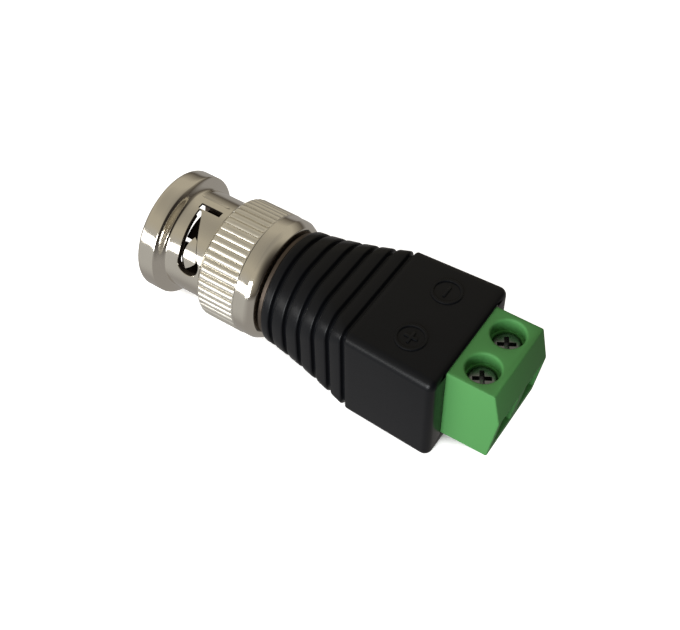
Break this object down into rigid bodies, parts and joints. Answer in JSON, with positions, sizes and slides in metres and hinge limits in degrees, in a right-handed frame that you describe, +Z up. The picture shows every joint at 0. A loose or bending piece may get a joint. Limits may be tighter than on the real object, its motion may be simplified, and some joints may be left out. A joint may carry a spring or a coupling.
{
  "type": "bayonet plug to screw terminal adapter",
  "caption": "Coaxial bayonet plug with a turning coupling nut, a ribbed black grip and a green two-way screw terminal block with rising cage clamps.",
  "frame": {"origin": "on the plug's axis at the mouth of the coupling nut", "axes": "+X from the mouth along the axis to the terminals, +Z up through the clamp screws"},
  "size_m": [0.0442, 0.0154, 0.0142],
  "materials": {
    "nickel": "bright nickel plating",
    "gold_brass": "gold flash over brass",
    "spring_steel": "rolled strip",
    "zinc_steel": "zinc plated",
    "tinned_brass": "tin plated",
    "black_moulding": "fine spark-eroded satin",
    "green_moulding": "satin moulding",
    "white_bead": "turned, waxy",
    "gasket_rubber": "soft, matt",
    "red_sleeve": "smooth wire sleeve",
    "grey_sleeve": "smooth wire sleeve"
  },
  "bodies": {
    "root": {"plug_body": "nickel", "shoulder_bush": "nickel", "outer_contact": "nickel", "centre_pin": "gold_brass", "front_insulator": "white_bead", "rear_insulator": "white_bead", "sealing_gasket": "gasket_rubber", "wave_washer": "spring_steel", "retaining_ring": "spring_steel", "grip_housing": "black_moulding", "terminal_housing": "green_moulding", "contact_bar_1": "tinned_brass", "contact_bar_2": "tinned_brass", "solder_lug": "tinned_brass", "centre_lead": "red_sleeve", "shield_lead": "grey_sleeve"},
    "nut_carrier": {"thrust_washer": "spring_steel"},
    "nut": {"coupling_nut": "nickel"},
    "screw_1": {"clamp_screw_1": "zinc_steel"},
    "screw_2": {"clamp_screw_2": "zinc_steel"},
    "cage_1": {"clamp_cage_1": "zinc_steel"},
    "cage_2": {"clamp_cage_2": "zinc_steel"}
  },
  "joints": [
    {"name": "nut_slide", "type": "slide", "parent": "root", "child": "nut_carrier", "axis": [-1, 0, 0], "range_m": [0, 0.0005], "stiffness_N_per_m": 3000, "springref_m": -0.0003, "deforming": ["wave_washer"]},
    {"name": "nut_turn", "type": "hinge", "parent": "nut_carrier", "child": "nut", "pos_m": [0, 0, 0], "axis": [1, 0, 0], "continuous": true},
    {"name": "screw_turn_1", "type": "hinge", "parent": "root", "child": "screw_1", "pos_m": [0.04074, -0.00254, 0.00407], "axis": [0, 0, -1], "range_deg": [0, 1080]},
    {"name": "cage_lift_1", "type": "slide", "parent": "root", "child": "cage_1", "axis": [0, 0, 1], "range_m": [0, 0.0015]},
    {"name": "screw_turn_2", "type": "hinge", "parent": "root", "child": "screw_2", "pos_m": [0.04074, 0.00254, 0.00407], "axis": [0, 0, -1], "range_deg": [0, 1080]},
    {"name": "cage_lift_2", "type": "slide", "parent": "root", "child": "cage_2", "axis": [0, 0, 1], "range_m": [0, 0.0015]}
  ],
  "couplings": [
    {"joint": "screw_turn_1", "follows": "cage_lift_1", "rad_per_m": 12566},
    {"joint": "screw_turn_2", "follows": "cage_lift_2", "rad_per_m": 12566}
  ]
}
